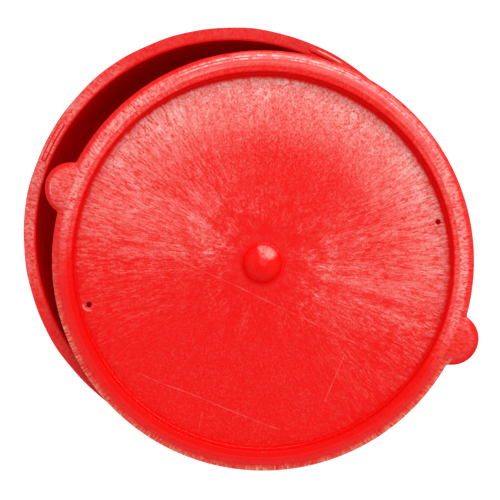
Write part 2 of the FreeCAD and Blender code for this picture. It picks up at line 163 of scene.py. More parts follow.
# the dome's brighter red is painted light, which lifts its shaded flanks
DOME_RED_PAINTED_LIGHT = (0.97, 0.0016, 0.0010, 1)
RIM_RED = (0.84, 0.0016, 0.0010, 1)
INSIDE_RED_PAINTED_LIGHT = (0.93, 0.0016, 0.0010, 1)          # the bowl below its rim: a brighter red, painted light for its shaded inside
WHITENING_AND_SHEEN = (0.95, 0.95, 0.86, 1)                # pale colour: real scratches and marks, and painted sheen, highlights and reflection
PEACH_REFLECTION = (1.0, 0.88, 0.58, 1)                    # colour of the painted floor reflection on the near side's shoulder
GLOSS = 0.45
GRAIN_DEPTH = 0.08 * MM
DRUM_RADIUS = 60.0          # distance from the axis, in mm, at which cells have their full width

# ---------------------------------------------------------------- camera and light

AIM = (8.19, -4.71, 46.0)
CAMERA_DISTANCE = 450.0
CAMERA_EAST = math.radians(1.00)
CAMERA_NORTH = math.radians(4.78)
SENSOR_WIDTH = 36.0
FOCAL_SHARE = 2.0474        # focal length over sensor width

FLOOR_REACH = 3.0           # half the floor's width, in metres
FLOOR_COLOUR = (0.75, 0.75, 0.75, 1)
FLOOR_OWN_WHITE = 0.60      # white that the floor shows by itself, besides the light on it
FLOOR_MIRRORED = 0.3        # share of that white that gloss shows
FILL = 1.19                 # light from all round
FILL_LOW = 0.66             # the same near the floor
FILL_OVERHEAD = 0.03        # light from overhead, where the camera hangs
OVERHEAD = (-0.05, -0.20, 0.98)
FILL_MIRRORED = 0.06        # the same room as gloss shows it: mostly dark


# ---------------------------------------------------------------- meshes

def rounded(corners, step=math.radians(9)):
    """A profile through corners of (radius, height, round), with an arc of that round at each."""
    places = [np.array(corner[:2], float) for corner in corners]
    rounds = [corner[2] for corner in corners[1:-1]]
    points = [places[0]]
    for before, corner, after, radius in zip(places, places[1:], places[2:], rounds):
        back = before - corner
        ahead = after - corner
        back /= np.linalg.norm(back)
        ahead /= np.linalg.norm(ahead)
        opening = math.acos(np.clip(back @ ahead, -1, 1))
        bisector = (back + ahead) / np.linalg.norm(back + ahead)
        centre = corner + bisector * radius / math.sin(opening / 2)
        sweep = math.pi - opening
        count = max(2, math.ceil(sweep / step))
        away = -bisector
        side = np.array((-away[1], away[0]))
        if side @ (ahead - back) < 0:
            side = -side
        for turn in np.linspace(-sweep / 2, sweep / 2, count + 1):
            points.append(centre + radius * (math.cos(turn) * away + math.sin(turn) * side))
    points.append(places[-1])
    return np.array(points)


def filled(profile, spacing):
    """The profile with more points on its long straight runs."""
    points = [profile[0]]
    for start, end in zip(profile, profile[1:]):
        count = max(1, math.ceil(np.linalg.norm(end - start) / spacing))
        points += [start + (end - start) * share for share in np.arange(1, count + 1) / count]
    return np.array(points)


def lathed(profile, angles):
    """Rings of points, one for each point of a profile: an array of rings by angles by xyz."""
    radius = profile[:, 0][:, None]
    height = np.broadcast_to(profile[:, 1][:, None], (len(profile), len(angles)))
    return np.stack((radius * np.cos(angles), radius * np.sin(angles), height), axis=-1)


def ring_mesh(name, rings, top, bottom):
    """One closed smooth mesh: rings in order from the top's middle point to the bottom's."""
    count, around, _ = rings.shape
    points = np.concatenate((rings.reshape(-1, 3), [top, bottom])) * MM
    here = np.arange(around)
    following = (here + 1) % around
    faces = []
    for row in range(count - 1):
        low, high = row * around, (row + 1) * around
        quads = (low + here, high + here, high + following, low + following)
        faces += np.stack(quads, axis=-1).tolist()
    last = (count - 1) * around
    at_top = np.full(around, count * around)
    faces += np.stack((here, following, at_top), axis=-1).tolist()
    faces += np.stack((last + following, last + here, at_top + 1), axis=-1).tolist()
    mesh = bpy.data.meshes.new(name)
    mesh.from_pydata(points.tolist(), [], faces)
    mesh.validate()
    mesh.shade_smooth()
    piece = bpy.data.objects.new(name, mesh)
    bpy.context.scene.collection.objects.link(piece)
    return piece


# ---------------------------------------------------------------- lid

def tab_angles():
    """Directions round the lid: close together at the two tabs, wider apart between them."""
    half_tab = 0.16
    wide = math.radians(1.0)
    fine = math.radians(0.22)
    angles = []
    for middle in (0.0, math.pi):
        angles += list(np.arange(middle - half_tab, middle + half_tab, fine))
        angles += list(np.arange(middle + half_tab, middle + math.pi - half_tab - wide / 2, wide))
    return np.array(sorted(angles))


def inside(x, y):
    """How far a point lies inside the outline of flange and tabs, with a small round at the necks."""
    flange = FLANGE_RADIUS - np.hypot(x, y)
    tab = TAB_RADIUS - np.hypot(np.abs(x) - TAB_OFFSET, y)
    mix = np.clip(TAB_NECK - np.abs(flange - tab), 0, None)
    return np.maximum(flange, tab) + mix ** 2 / (4 * TAB_NECK)


def outline_radius(angles):
    """Where a ray from the lid's axis leaves the outline, found by halving."""
    near = np.full(len(angles), FLANGE_RADIUS - 1)
    far = np.full(len(angles), TAB_OFFSET + TAB_RADIUS + 1)
    for _ in range(40):
        middle = (near + far) / 2
        within = inside(middle * np.cos(angles), middle * np.sin(angles)) > 0
        near = np.where(within, middle, near)
        far = np.where(within, far, middle)
    return near


def dome_circle():
    """Radius of the dome's circle, and height of its centre on the axis."""
    radius = (BOSS_RADIUS ** 2 + BOSS_HEIGHT ** 2) / (2 * BOSS_HEIGHT)
    return radius, PANEL + BOSS_HEIGHT - radius


def dome_arc(radius, turns):
    """Points of a circle round the dome's centre, in the half plane of a profile."""
    _, centre = dome_circle()
    return np.stack((radius * np.cos(turns), centre + radius * np.sin(turns)), axis=-1)


def boss_profile():
    """From the gate's stub over the flat crown and the dome to the panel."""
    dome, centre = dome_circle()
    over_panel = PANEL + 0.35
    arc = dome_arc(dome, np.linspace(math.asin((CROWN - centre) / dome),
                                     math.asin((over_panel - centre) / dome), 18))
    stub_edge = 0.15
    stub = rounded([(stub_edge, GATE_TOP, 0), (GATE_RADIUS, GATE_TOP, stub_edge),
                    (GATE_RADIUS + stub_edge, CROWN, 0.12), (*arc[0], 0)])
    root = rounded([(*arc[-2], 0), (BOSS_RADIUS, PANEL, BOSS_ROOT), (BOSS_RADIUS + 3, PANEL, 0)])
    return np.concatenate((stub[:-1], arc[:-1], root[1:]))


def hollow_profile():
    """Underside of the dome, from the panel's underside up to the axis."""
    dome, centre = dome_circle()
    radius = dome - BOSS_SHELL
    return dome_arc(radius, np.linspace(math.asin(-centre / radius), math.radians(88), 14))


def sway(x, y):
    """Slow unevenness of the panel, for a depth of 1."""
    return (np.sin(x / 13 + 0.7) * np.cos(y / 17 + 0.2) + 0.6 * np.sin((x + y) / 9 + 2.1)
            + 0.5 * np.cos((x - 1.4 * y) / 7.5 + 0.5))


def middle_rings(angles):
    """The boss, the slightly uneven panel, and the step up to the flat land."""
    step_foot = PANEL_RADIUS - 4
    step = rounded([(step_foot, PANEL, 0), (PANEL_RADIUS, PANEL, 0.5),
                    (STEP_RADIUS, LAND - STEP_DROP, 0.25), (LAND_RADIUS, LAND, 0.3),
                    (SHOULDER_START, LAND, 0)])
    boss = boss_profile()
    radii = np.arange(boss[-1][0] + 1.5, step_foot, PANEL_SPACING)
    panel = np.array([(radius, PANEL) for radius in radii])
    rings = lathed(np.concatenate((boss, panel, filled(step, STEP_SPACING))), angles)
    reach = np.hypot(rings[..., 0], rings[..., 1])
    off_boss = np.clip((reach - BOSS_RADIUS - 3) / SWAY_FADE, 0, 1)
    off_step = np.clip((PANEL_RADIUS - 2 - reach) / SWAY_FADE, 0, 1)
    rings[..., 2] += SWAY_DEPTH * off_boss * off_step * sway(rings[..., 0], rings[..., 1])
    return rings


def shoulder_rings(angles, outline):
    """The round shoulder, out to the outline with the tabs, with its rings closer at the outside."""
    count = 26
    crowding = 1.7
    rings = []
    for step in range(1, count + 1):
        radius = outline - (outline - SHOULDER_START) * (1 - step / count) ** crowding
        x, y = radius * np.cos(angles), radius * np.sin(angles)
        share = np.clip(1 - inside(x, y) / SHOULDER_WIDTH, 0, 1)
        height = LAND - SHOULDER_FALL * share - SHOULDER_DROP * (1 - np.sqrt(1 - share ** 2))
        rings.append(np.stack((x, y, height), axis=-1))
    return np.array(rings)


def side_rings(angles, outline):
    """The side, its lower edge and the flange's underside, back to the plug."""
    def level_ring(radius, height):
        heights = np.full_like(angles, height)
        return np.stack((radius * np.cos(angles), radius * np.sin(angles), heights), axis=-1)

    lower_edge = ((1, 0.3), (0.9994, 0.08), (0.9975, 0))    # share of the outline, height
    rings = [level_ring(outline * share, UNDER_FLANGE + height) for share, height in lower_edge]
    for share in (0.35, 0.7):
        rings.append(level_ring(outline + (PLUG_ROOT - outline) * share, UNDER_FLANGE))
    return np.array(rings)


def plug_rings(angles):
    """The plug, the panel's underside, and the hollow under the dome."""
    hollow = hollow_profile()
    mouth = hollow[0][0]
    plug = rounded([(PLUG_ROOT, UNDER_FLANGE, 0), (PLUG_RADIUS, UNDER_FLANGE, 0.3),
                    (PLUG_RADIUS - PLUG_DRAFT, 0, 0.7), (PLUG_RADIUS - 8, 0, 0)])
    radii = np.arange(PLUG_RADIUS - 12, mouth + 3, -UNDERSIDE_SPACING)
    underside = np.array([(radius, 0) for radius in radii])
    lip = rounded([(mouth + 2, 0, 0), (mouth, 0, 0.4), (*hollow[1], 0)])
    profile = np.concatenate((filled(plug, PLUG_SPACING), underside, lip[:-1], hollow[1:]))
    return lathed(profile, angles)


def make_lid():
    """The lid in one mesh, in its place across the bowl's rim."""
    angles = tab_angles()
    outline = outline_radius(angles)
    rings = np.concatenate((middle_rings(angles), shoulder_rings(angles, outline),
                            side_rings(angles, outline), plug_rings(angles)))
    lid = ring_mesh("lid_shell", rings, (0, 0, GATE_TOP), (0, 0, hollow_profile()[-1][1]))
    pierce_vents(lid)
    place = Matrix.Translation(Vector((*LID_SHIFT, BASE_HEIGHT + PAD_HEIGHT + SEAT_GAP)) * MM)
    lid.data.transform(place @ Matrix.Rotation(LID_TURN, 4, "Z"))
    return lid


def pierce_vents(lid):
    """Two small round holes straight through the panel."""
    drill_length = 12.0
    for turn in (VENT_TURN, VENT_TURN + math.pi):
        x, y = VENT_CIRCLE * math.cos(turn) * MM, VENT_CIRCLE * math.sin(turn) * MM
        bpy.ops.mesh.primitive_cylinder_add(vertices=40, radius=VENT_RADIUS * MM,
                                            depth=drill_length * MM,
                                            location=(x, y, PANEL / 2 * MM))
        drill = bpy.context.object
        cut = lid.modifiers.new("vent", "BOOLEAN")
        cut.object = drill
        cut.operation = "DIFFERENCE"
        cut.solver = "EXACT"
        pierced = lid.evaluated_get(bpy.context.evaluated_depsgraph_get())
        mesh = bpy.data.meshes.new_from_object(pierced)
        lid.modifiers.clear()
        lid.data = mesh
        bpy.data.objects.remove(drill)
    lid.data.name = "lid_shell"


# ---------------------------------------------------------------- bowl

def rim_waver(angles):
    """How far the rim's outer edge lies off a true circle, in millimetres, always inwards."""
    return sum(depth * (np.sin(count * angles + phase) - 1) for depth, count, phase in RIM_WAVES)


def pad_angles():
    """Directions round the rim: close together at the pads, wider apart between them."""
    reach = PAD_SPAN / 2 + math.radians(2)
    quarter = 2 * math.pi / PADS
    wide = math.radians(0.9)
    fine = math.radians(0.25)
    angles = []
    for pad in range(PADS):
        middle = PAD_TURN + pad * quarter
        angles += list(np.arange(middle - reach, middle + reach, fine))
        angles += list(np.arange(middle + reach, middle + quarter - reach - wide / 2, wide))
    return np.array(angles)


def pad_height(x, y):
    """How far the rim stands up at a point: long round-ended pads with sloping edges."""
    turn = np.arctan2(y, x)
    quarter = 2 * math.pi / PADS
    off = (turn - PAD_TURN + quarter / 2) % quarter - quarter / 2
    straight = PAD_SPAN / 2 - PAD_WIDTH / 2 / PAD_CIRCLE
    beyond = off - np.clip(off, -straight, straight)
    radius = np.hypot(x, y)
    outside = np.hypot(radius * np.cos(beyond) - PAD_CIRCLE, radius * np.sin(beyond)) - PAD_WIDTH / 2
    return PAD_HEIGHT * np.clip(-outside / PAD_SLOPE, 0, 1)


def bowl_profile():
    """From the floor up the wall, over the rim and its turned-down edge, to the foot's inside."""
    slope = math.tan(DRAFT)
    inner_foot = OPENING_RADIUS - (BASE_HEIGHT - FLOOR_TOP) * slope
    outer_foot = OPENING_RADIUS + WALL - (BASE_HEIGHT - FOOT_DROP) * slope
    outer_top = OPENING_RADIUS + WALL - RIM_THICKNESS * slope
    rim_under = BASE_HEIGHT - RIM_THICKNESS
    lip_inside = RIM_RADIUS - LIP_WIDTH
    foot_inside = FOOT_RADIUS - FOOT_WIDTH
    profile = filled(rounded([
        (0.5, FLOOR_TOP, 0),
        (inner_foot, FLOOR_TOP, INNER_CORNER),
        (OPENING_RADIUS, BASE_HEIGHT, EDGE_EASE),
        (RIM_RADIUS, BASE_HEIGHT, EDGE_EASE),
        (RIM_RADIUS, LIP_FOOT, EDGE_EASE),
        (lip_inside, LIP_FOOT, EDGE_EASE),
        (lip_inside, rim_under, 0.6),
        (outer_top, rim_under, 0.9),
        (outer_foot, FOOT_DROP, OUTER_CORNER),
        (FOOT_RADIUS, FOOT_DROP, 0.4),
        (FOOT_RADIUS, 0, EDGE_EASE),
        (foot_inside, 0, EDGE_EASE),
        (foot_inside, FOOT_DROP, 0.4),
        (0.5, FOOT_DROP, 0),
    ]), BOWL_SPACING)
    on_top = np.flatnonzero(profile[:, 1] > BASE_HEIGHT - HAIR)
    first, last = on_top[0], on_top[-1]
    top = filled(profile[[first, last]], RIM_SPACING)
    return np.concatenate((profile[:first], top, profile[last + 1:]))


def make_bowl():
    """The bowl in one mesh, with its pads raised and its rim's edge made uneven."""
    angles = pad_angles()
    rings = lathed(bowl_profile(), angles)
    x, y, height = rings[..., 0], rings[..., 1], rings[..., 2]
    height += (height > BASE_HEIGHT - HAIR) * pad_height(x, y)
    at_rim = height > LIP_FOOT - 1
    edge = np.clip((np.hypot(x, y) - RIM_RADIUS) / RIM_WAVES_WIDTH + 1, 0, 1) * at_rim
    rings[..., :2] *= (1 + edge * rim_waver(angles) / RIM_RADIUS)[..., None]
    return ring_mesh("bowl_shell", rings, (0, 0, FLOOR_TOP), (0, 0, FOOT_DROP))


# ---------------------------------------------------------------- shader nodes

class Wiring:
    """Short calls that add shader nodes to a material and join them."""

    def __init__(self, tree):
        self.tree = tree

    def feed(self, given, socket):
        """Joins a socket to another one, or sets its value."""
        if isinstance(given, bpy.types.NodeSocket):
            self.tree.links.new(given, socket)
        else:
            socket.default_value = given

    def node(self, kind, inputs=(), **settings):
        """A new node, with sockets or values for its inputs by their name or number."""
        made = self.tree.nodes.new(kind)
        for name, setting in settings.items():
            setattr(made, name, setting)
        for name, given in dict(inputs).items():
            self.feed(given, made.inputs[name])
        return made

    def math(self, operation, first, second=0.0, third=0.0, clamp=False):
        return self.node("ShaderNodeMath", {0: first, 1: second, 2: third},
                         operation=operation, use_clamp=clamp).outputs[0]

    def vector(self, operation, first, second=(0, 0, 0), output="Vector"):
        made = self.node("ShaderNodeVectorMath", {0: first, 1: second}, operation=operation)
        return made.outputs[output]

    def product(self, *factors):
        result = factors[0]
        for factor in factors[1:]:
            result = self.math("MULTIPLY", result, factor)
        return result

    def total(self, *parts):
        result = parts[0]
        for part in parts[1:]:
            result = self.math("ADD", result, part)
        return result

    def scaled(self, value, factor, offset, clamp=False):
        """The value times a factor, plus an offset."""
        return self.math("MULTIPLY_ADD", value, factor, offset, clamp=clamp)

    def larger(self, first, second):
        return self.math("MAXIMUM", first, second)

    def size(self, value):
        """The value without its sign."""
        return self.math("ABSOLUTE", value)

    def ramp(self, value, low, high, start=0.0, end=1.0):
        """value from low to high becomes start to end, smoothly, and stays there beyond."""
        made = self.node("ShaderNodeMapRange", {"Value": value, "From Min": low, "From Max": high,
                                                "To Min": start, "To Max": end},
                         interpolation_type="SMOOTHSTEP")
        return made.outputs["Result"]

    def blend(self, share, first, second):
        """The first value where the share is 0, and the second where it is 1."""
        return self.node("ShaderNodeMix", {0: share, 2: first, 3: second}).outputs[0]

    def mix_colour(self, share, first, second):
        """The same for two colours."""
        made = self.node("ShaderNodeMix", {0: share, 6: first, 7: second}, data_type="RGBA")
        return made.outputs[2]

    def noise(self, place, scale, detail=2.0, roughness=0.5):
        made = self.node("ShaderNodeTexNoise", {"Vector": place, "Scale": scale, "Detail": detail,
                                                "Roughness": roughness})
        return made.outputs["Fac"]

    def flecks(self, place, scale=1.0):
        """A random value for each small cell."""
        made = self.node("ShaderNodeTexVoronoi", {"Vector": place, "Scale": scale})
        return self.node("ShaderNodeSeparateColor", {"Color": made.outputs["Color"]}).outputs[0]


class Spot:
    """Where a shaded point lies from an upright axis of its piece, and how level the surface is."""

    def __init__(self, wiring, axis):
        """`axis` is the place of the axis: x and y, in millimetres."""
        self.wiring = wiring
        self.place = wiring.node("ShaderNodeTexCoord").outputs["Object"]
        centred = wiring.vector("SUBTRACT", self.place, (axis[0] * MM, axis[1] * MM, 0))
        x, y, self.height = wiring.node("ShaderNodeSeparateXYZ", {0: centred}).outputs
        self.flat = wiring.node("ShaderNodeCombineXYZ", {0: x, 1: y}).outputs[0]
        self.radius = wiring.vector("LENGTH", self.flat, output="Value")
        self.way = wiring.vector("NORMALIZE", self.flat)
        normal = wiring.node("ShaderNodeNewGeometry").outputs["Normal"]
        self.level = wiring.node("ShaderNodeSeparateXYZ", {0: normal}).outputs[2]

    def towards(self, azimuth):
        """Cosine of the angle between the spot's direction and an azimuth in degrees."""
        turn = math.radians(azimuth)
        way = (math.cos(turn), math.sin(turn), 0)
        return self.wiring.vector("DOT_PRODUCT", self.way, way, output="Value")

    def along(self, start, azimuth):
        """How far the spot lies from a start (x, y in metres), along an azimuth in radians."""
        off = self.wiring.vector("SUBTRACT", self.flat, (*start, 0))
        way = (math.cos(azimuth), math.sin(azimuth), 0)
        return self.wiring.vector("DOT_PRODUCT", off, way, output="Value")

    def away(self, centre):
        """Distance from an upright line (x, y in metres)."""
        return self.wiring.vector("DISTANCE", self.flat, (*centre, 0), output="Value")

    def ring(self, low, high, start=0.0, end=1.0):
        """Start to end between two distances from the axis, in millimetres."""
        return self.wiring.ramp(self.radius, low * MM, high * MM, start, end)

    def side(self, azimuth, low, high, start=0.0, end=1.0):
        """Start to end as the spot's direction nears an azimuth: low and high are cosines."""
        return self.wiring.ramp(self.towards(azimuth), low, high, start, end)

    def tilt(self, low, high, start=0.0, end=1.0):
        """Start to end between two slopes of the surface: 0 is upright and 1 faces up."""
        return self.wiring.ramp(self.level, low, high, start, end)

    def drum(self, across, along):
        """Texture place on a drum round the axis: cells of one angle everywhere.

        A cell is `across` millimetres wide at DRUM_RADIUS, narrower nearer to the axis, and
        `along` millimetres long, measured away from the axis.
        """
        wiring = self.wiring
        cells = 1 / (along * MM)
        rise = wiring.scaled(self.radius, cells, wiring.product(self.height, cells))
        wide = wiring.node("ShaderNodeVectorMath", {0: self.way, "Scale": DRUM_RADIUS / across},
                           operation="SCALE").outputs[0]
        up = wiring.node("ShaderNodeCombineXYZ", {2: rise}).outputs[0]
        return wiring.vector("ADD", wide, up)

    def cells(self, across, along):
        """A random value for each cell of a drum."""
        return self.wiring.flecks(self.drum(across, along))

    def waves(self, across, along, detail=2.0, roughness=0.5):
        """Soft noise on a drum, from 0 to 1."""
        return self.wiring.noise(self.drum(across, along), 1.0, detail, roughness)

    def drift(self, across, along, least, most, detail=2.0):
        """Soft noise on a drum, from least to most."""
        return self.wiring.ramp(self.waves(across, along, detail), 0.3, 0.7, least, most)


# ---------------------------------------------------------------- grain

def panel_flecks(spot):
    """The panel's grain, round 0.5: coarse flecks near the boss, and strokes further out.

    The strokes run away from the axis. They are long towards two sides and short between them.
    """
    wiring = spot.wiring
    sideways = wiring.ramp(wiring.size(spot.towards(STROKES)), 0.45, 0.80)
    short = wiring.scaled(spot.cells(0.48, 0.9), 0.8, 0.1)
    strokes = wiring.blend(sideways, short, spot.cells(0.5, 2.8))
    coarse = wiring.blend(spot.ring(24, 44), spot.cells(1.5, 1.7), strokes)
    speckle = wiring.flecks(spot.place, 2000.0)
    return wiring.scaled(coarse, 0.58, wiring.product(speckle, 0.42))


def panel_grain(spot, sheen):
    """Brightness of the panel's grain: stark where the painted sheen is weak, finer where it's
    strong.
    """
    wiring = spot.wiring
    fleck = panel_flecks(spot)
    stark = wiring.scaled(wiring.math("POWER", fleck, 3.0), 5.0, 0.06)
    fine = wiring.larger(wiring.scaled(fleck, 2.4, -0.20), 0.08)
    long_rays = spot.drift(1.4, 16.0, 0.85, 1.15, detail=1.0)
    return wiring.product(wiring.blend(wiring.ramp(sheen, 0.01, 0.12), stark, fine), long_rays)


def dashes(spot):
    """Brightness of the grain on flange and rim, round 1: thin dashes that run away from the axis."""
    stroke = spot.wiring.scaled(spot.cells(0.38, 1.1), 1.9, 0.05)
    return spot.wiring.product(stroke, spot.drift(1.2, 4.0, 0.85, 1.15))


def edge_streaks(spot):
    """Brightness, round 1, of the soft streaks that cross the flange's round shoulder."""
    stroke = spot.wiring.scaled(spot.cells(0.47, 3.0), 1.0, 0.5)
    return spot.wiring.product(stroke, spot.drift(1.6, 5.0, 0.85, 1.15))


def turned_lines(spot):
    """Brightness, round 1, of the fine lines that follow the flange round."""
    return spot.wiring.ramp(spot.cells(24.0, 0.5), 0.3, 0.7, 0.3, 1.7)


def patches(spot):
    """Slow patches, round 1: strong near the axis, faint away from it."""
    part = spot.wiring.ramp(spot.wiring.noise(spot.place, 130.0), 0.35, 0.65, -1.0, 1.0)
    return spot.wiring.scaled(part, spot.ring(20, 45, 0.75, 0.15), 1.0)


def grain_height(spot):
    """Height of the grain: soft short ridges that run away from the axis."""
    return spot.waves(1.0, 3.4, 3.0, 0.65)


# ---------------------------------------------------------------- marks

def lid_point(radius, turn):
    """A point off the lid's axis, in metres along the row's axes, from its place on the lid."""
    return radius * math.cos(turn + LID_TURN) * MM, radius * math.sin(turn + LID_TURN) * MM


def ring_mark(spot, centre, radius, width=0.3):
    """Share of a fine ring round a centre, which fades over `width` to each side."""
    wiring = spot.wiring
    off = wiring.size(wiring.math("SUBTRACT", spot.away(centre), radius * MM))
    return wiring.ramp(off, 0.0, width * MM, 1.0, 0.0)


def scratch(spot, start, end):
    """Share of a hair-thin, slightly bent and broken scratch between two points, in mm."""
    wiring = spot.wiring
    across, up = end[0] - start[0], end[1] - start[1]
    azimuth = math.atan2(up, across)
    length = math.hypot(up, across) * MM
    start = (start[0] * MM, start[1] * MM)
    reached = spot.along(start, azimuth)
    bend = wiring.scaled(wiring.noise(spot.place, 40.0, 1.0), 1.6 * MM, -0.8 * MM)
    off = wiring.size(wiring.total(spot.along(start, azimuth + math.pi / 2), bend))
    line = wiring.ramp(off, 0.0, 0.24 * MM, 1.0, 0.0)
    broken = wiring.ramp(wiring.noise(spot.place, 260.0), 0.40, 0.62, 0.3, 1.0)
    begins = wiring.ramp(reached, 0.0, 2 * MM)
    ends = wiring.ramp(reached, length - 2 * MM, length, 1.0, 0.0)
    return wiring.product(line, broken, begins, ends)


def mould_marks(spot):
    """Share of the fine circles that the mould's round inserts and pins have left."""
    marks = 0.0
    for circle, turn, radius in MOULD_ROUNDS:
        for opposite in (0, math.pi):
            mark = ring_mark(spot, lid_point(circle, turn + opposite), radius)
            marks = spot.wiring.larger(marks, mark)
    return marks


def scuffs(spot):
    """Shares of the pale scratches, of a pale line inside one tab's outer edge and of the burr beside
    one vent.
    """
    wiring = spot.wiring
    scratches = 0.0
    for start, end in SCRATCHES:
        scratches = wiring.larger(scratches, scratch(spot, start, end))
    tab = lid_point(TAB_OFFSET, 0)
    outside = wiring.ramp(spot.along(tab, math.radians(180)), 8.0 * MM, 8.8 * MM, 0.0, 1.6)
    tab_line_and_scratches = wiring.scaled(ring_mark(spot, tab, TAB_RADIUS - 2.6, 0.45), outside, scratches)
    vent = lid_point(VENT_CIRCLE, VENT_TURN)
    side = wiring.ramp(spot.along(vent, math.radians(235)), 0.9 * MM, 2.0 * MM, 0.0, 2.5)
    return wiring.scaled(ring_mark(spot, vent, VENT_RADIUS + 1.3, 0.7), side, tab_line_and_scratches)


# ---------------------------------------------------------------- painted sheen, highlights and reflection on the lid

def lid_zones(spot):
    """Shares of the lid's two grained zones: the panel, and the slope and land with the tabs."""
    wiring = spot.wiring
    # the panel's zone and its painted sheen end further in towards SHADED: painted shade of the step
    shade = spot.side(SHADED, 0.2, 0.95, 0.0, 1.3 * MM)
    reach = wiring.total(spot.radius, shade)
    panel = wiring.ramp(reach, (PANEL_RADIUS - 1.9) * MM, (PANEL_RADIUS - 0.1) * MM, 1.0, 0.0)
    off_boss = spot.ring(BOSS_RADIUS, BOSS_RADIUS + 1.5)
    slope = spot.ring(STEP_RADIUS + 0.1, STEP_RADIUS + 0.9, 0.0, 0.4)
    land = spot.ring(LAND_RADIUS - 1.2, LAND_RADIUS - 0.1, 0.0, 0.6)
    return wiring.product(panel, off_boss), wiring.total(slope, land)


def panel_sheen(spot):
    """Painted sheen on the panel: most at the outside of its lit half, and in pale rays."""
    wiring = spot.wiring
    lit = spot.side(LIT, -0.35, 1.0)
    outer = spot.ring(45, 88, 0.0, 0.30)
    lobe = wiring.math("POWER", wiring.size(spot.towards(RAYS)), 3.0)
    inner = wiring.product(spot.ring(6, 28, 0.0, 0.075), spot.ring(40, 80, 1.0, 0.6))
    rays = wiring.product(lobe, inner, spot.side(LIT, -0.7, 0.2, 0.1, 1.0),
                          spot.drift(5.0, 40.0, 0.5, 1.5, detail=1.0))
    base = wiring.scaled(lit, spot.ring(12, 45, 0.0, 0.012), spot.ring(12, 28, 0.006, 0.009))
    return wiring.total(wiring.scaled(lit, outer, rays), base)


def tab_zone(spot, turn, share):
    """A share of painted sheen on the tab that lies `turn` round the lid, inside its red outline."""
    off = spot.away(lid_point(TAB_OFFSET, turn))
    return spot.wiring.ramp(off, (TAB_RADIUS - 2.8) * MM, (TAB_RADIUS - 1.2) * MM, share, 0.0)


def flange_sheen(spot):
    """A band of painted sheen over slope, land and shoulder, and on the middles of the tabs."""
    wiring = spot.wiring
    lit = wiring.product(spot.side(LIT, -0.36, 0.15, 0.0, 0.18),
                         spot.side(LIT, 0.55, 0.95, 1.0, 0.34))
    wider = spot.side(WIDE_BAND, -0.2, 0.9, 0.0, 1.2 * MM)
    narrower = spot.side(NARROW_BAND, 0.5, 0.95, 0.0, 0.5 * MM)
    reach = wiring.total(wiring.math("SUBTRACT", spot.radius, wider), narrower)
    band = wiring.ramp(reach, BAND[0] * MM, BAND[1] * MM, 1.0, 0.10)
    tabs = wiring.total(tab_zone(spot, 0, 0.50), tab_zone(spot, math.pi, 0.36))
    on_top = spot.tilt(0.945, 0.89, 1.0, 0.1)
    return wiring.product(lit, wiring.larger(band, tabs), on_top)


def edge_reflection(spot):
    """Painted reflection of the white floor, growing outwards over the shoulder, but not on the tabs.
    """
    wiring = spot.wiring
    outwards = wiring.scaled(spot.radius, 1 / (EDGE_WIDTH * MM), -EDGE_START / EDGE_WIDTH, clamp=True)
    return wiring.product(wiring.math("POWER", outwards, 1.6), edge_streaks(spot),
                          spot.side(NEAR_EDGE, 0.0, 0.5, 0.02, 0.20), spot.tilt(0.97, 0.93),
                          spot.side(RED_REFLECTING_EDGE, 0.75, 0.95, 1.0, 0.0),
                          spot.ring(*ONLY_TABS, 1.0, 0.0))


def highlight_rings(spot):
    """Rings of painted highlight: two broken ones on the lit shoulder, and one at the land's inside.
    """
    wiring = spot.wiring
    rings = wiring.larger(*(ring_mark(spot, (0, 0), radius, width) for radius, width in HIGHLIGHT_RINGS))
    broken = wiring.ramp(spot.cells(0.9, 0.6), 0.2, 0.8, 0.2, 1.6)
    painted_highlight = wiring.product(rings, broken, spot.side(LIT, 0.5, 0.95, 0.0, 0.22))
    inside_land = wiring.product(ring_mark(spot, (0, 0), LAND_RADIUS - 0.25, 0.5),
                                 spot.side(LIT, 0.0, 0.8, 0.0, 0.08))
    return wiring.total(painted_highlight, inside_land)


def dome_highlight(spot):
    """Painted highlight on one side of the dome, in fine lines, and round the gate's stub."""
    wiring = spot.wiring
    gate = wiring.ramp(spot.away((0.2 * MM, 0.8 * MM)), 0.4 * MM, 2.6 * MM, 0.035, 0.0)
    lines = wiring.ramp(spot.cells(60.0, 0.5), 0.2, 0.8, 0.5, 1.5)
    dome = wiring.product(spot.ring(2.2, 4.5), lines, spot.ring(7.2, 8.6, 1.0, 0.0),
                          spot.side(DOME_LIT, 0.70, 0.97, 0.0, 0.085))
    return wiring.total(gate, dome)


def lid_sheen(spot, panel, land):
    """Painted sheen, highlights and reflection on all of the lid that faces up, without its grain."""
    wiring = spot.wiring
    everywhere = spot.tilt(0.70, 0.90, 0.0, 0.006)
    flange = wiring.total(flange_sheen(spot), edge_reflection(spot), highlight_rings(spot), everywhere)
    middle = wiring.scaled(panel_sheen(spot), panel, dome_highlight(spot))
    return wiring.product(spot.tilt(0.05, 0.40), wiring.scaled(flange, land, middle))


def lid_paleness(spot, panel, land, mould):
    """Share of pale colour on the lid: the painted light with its grain, the marks and the scuffs."""
    wiring = spot.wiring
    sheen = lid_sheen(spot, panel, land)
    lined = spot.side(LINED, 0.6, 0.95, 0.0, 0.65)
    on_land = wiring.blend(lined, dashes(spot), turned_lines(spot))
    bright = wiring.blend(land, panel_grain(spot, sheen), on_land)
    pale = wiring.product(sheen, bright, patches(spot), wiring.scaled(mould, -0.8, 1.0))
    pale = wiring.scaled(mould, 0.02, pale)
    return wiring.scaled(scuffs(spot), 0.12, pale, clamp=True)


# ---------------------------------------------------------------- the lid's and the bowl's plastic

def red_plastic(name):
    """A new red polypropylene, and what is needed to add to it."""
    material = bpy.data.materials.new(name)
    material.use_nodes = True
    shader = material.node_tree.nodes["Principled BSDF"]
    shader.inputs["IOR"].default_value = 1.49
    shader.inputs["Specular IOR Level"].default_value = GLOSS
    return material, shader, Wiring(material.node_tree)


